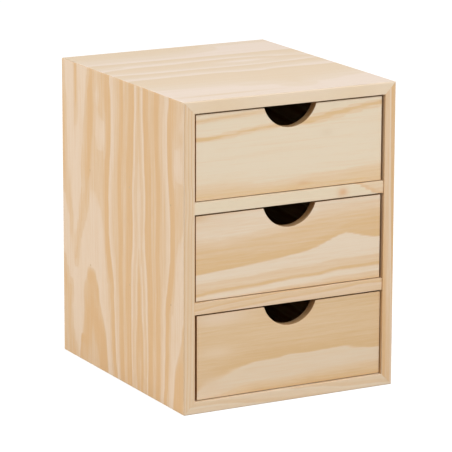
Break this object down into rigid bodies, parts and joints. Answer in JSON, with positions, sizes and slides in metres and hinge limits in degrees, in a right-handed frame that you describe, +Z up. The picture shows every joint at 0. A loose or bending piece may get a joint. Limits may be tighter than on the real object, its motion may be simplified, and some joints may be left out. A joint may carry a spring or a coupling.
{
  "type": "desktop drawer organizer",
  "caption": "Small pine chest with mitred corners and stacked pull-out drawers that open by a rounded finger notch, for craft supplies and small parts.",
  "frame": {"origin": "middle of the footprint, on the surface the case stands on", "axes": "+Z up, drawers pull out towards -Y, +X to the right of someone facing the drawers"},
  "size_m": [0.175, 0.2, 0.23],
  "materials": {
    "case_pine": "planed and sanded bare pine",
    "divider_pine": "planed bare pine",
    "front_pine": "planed and sanded bare pine",
    "drawer_pine": "planed bare pine",
    "plywood": "rotary-cut plywood face, sanded",
    "nail_steel": "bright wire nail"
  },
  "bodies": {
    "case": {"left_side": "case_pine", "right_side": "case_pine", "top_panel": "case_pine", "bottom_panel": "case_pine", "upper_divider": "divider_pine", "lower_divider": "divider_pine", "back_panel": "plywood", "left_divider_brads": "nail_steel", "right_divider_brads": "nail_steel", "back_panel_pins": "nail_steel"},
    "upper_drawer": {"upper_drawer_front": "front_pine", "upper_drawer_left_side": "drawer_pine", "upper_drawer_right_side": "drawer_pine", "upper_drawer_back": "drawer_pine", "upper_drawer_bottom": "plywood", "upper_drawer_brads": "nail_steel"},
    "middle_drawer": {"middle_drawer_front": "front_pine", "middle_drawer_left_side": "drawer_pine", "middle_drawer_right_side": "drawer_pine", "middle_drawer_back": "drawer_pine", "middle_drawer_bottom": "plywood", "middle_drawer_brads": "nail_steel"},
    "lower_drawer": {"lower_drawer_front": "front_pine", "lower_drawer_left_side": "drawer_pine", "lower_drawer_right_side": "drawer_pine", "lower_drawer_back": "drawer_pine", "lower_drawer_bottom": "plywood", "lower_drawer_brads": "nail_steel"}
  },
  "joints": [
    {"name": "upper_drawer_slide", "type": "slide", "parent": "case", "child": "upper_drawer", "axis": [0, -1, 0], "range_m": [0, 0.15]},
    {"name": "middle_drawer_slide", "type": "slide", "parent": "case", "child": "middle_drawer", "axis": [0, -1, 0], "range_m": [0, 0.15]},
    {"name": "lower_drawer_slide", "type": "slide", "parent": "case", "child": "lower_drawer", "axis": [0, -1, 0], "range_m": [0, 0.15]}
  ]
}
